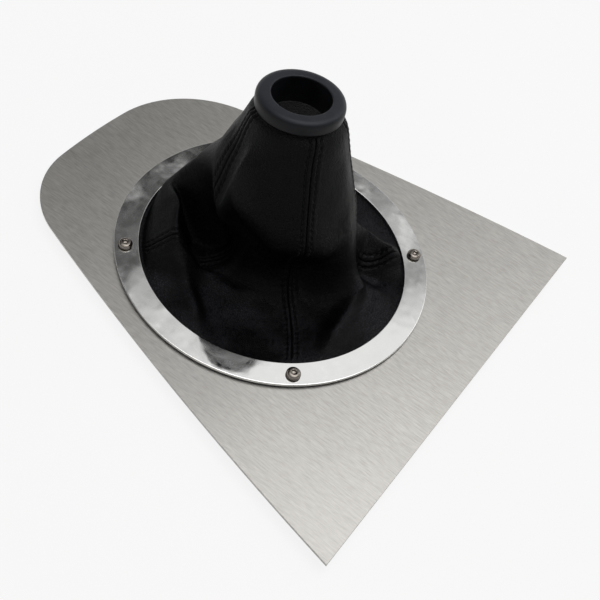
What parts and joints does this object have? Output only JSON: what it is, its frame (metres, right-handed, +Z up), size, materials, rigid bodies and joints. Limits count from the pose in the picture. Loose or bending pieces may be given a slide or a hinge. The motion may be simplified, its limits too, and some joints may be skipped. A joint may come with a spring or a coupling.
{
  "type": "gear shift surround",
  "caption": "Sheet metal cover plate with a clamped leather gaiter and a moulded collar for a gear lever.",
  "frame": {"origin": "middle of the plate's length and width, at the height of the screw ends, which are the lowest points", "axes": "+Z up through the ring; +Y towards the plate's narrow rounded end; +X to its right"},
  "size_m": [0.251, 0.2516, 0.1174],
  "materials": {
    "brushed_plate": "brushed lengthways, satin",
    "polished_ring": "mirror polished stainless steel",
    "black_leather": "fine pebble grain, satin",
    "moulded_collar": "fine moulded texture, matte",
    "stainless_screws": "bright, turned",
    "zinc_fixings": "zinc plated"
  },
  "bodies": {
    "root": {"cover_plate": "brushed_plate", "retaining_ring": "polished_ring", "gaiter_panel_left": "black_leather", "gaiter_panel_front": "black_leather", "gaiter_panel_right": "black_leather", "gaiter_panel_back": "black_leather", "collar": "moulded_collar", "screw_back_left": "stainless_screws", "screw_front_left": "stainless_screws", "screw_front_right": "stainless_screws", "screw_back_right": "stainless_screws", "washer_back_left": "zinc_fixings", "washer_front_left": "zinc_fixings", "washer_front_right": "zinc_fixings", "washer_back_right": "zinc_fixings", "nut_back_left": "zinc_fixings", "nut_front_left": "zinc_fixings", "nut_front_right": "zinc_fixings", "nut_back_right": "zinc_fixings"}
  },
  "joints": []
}
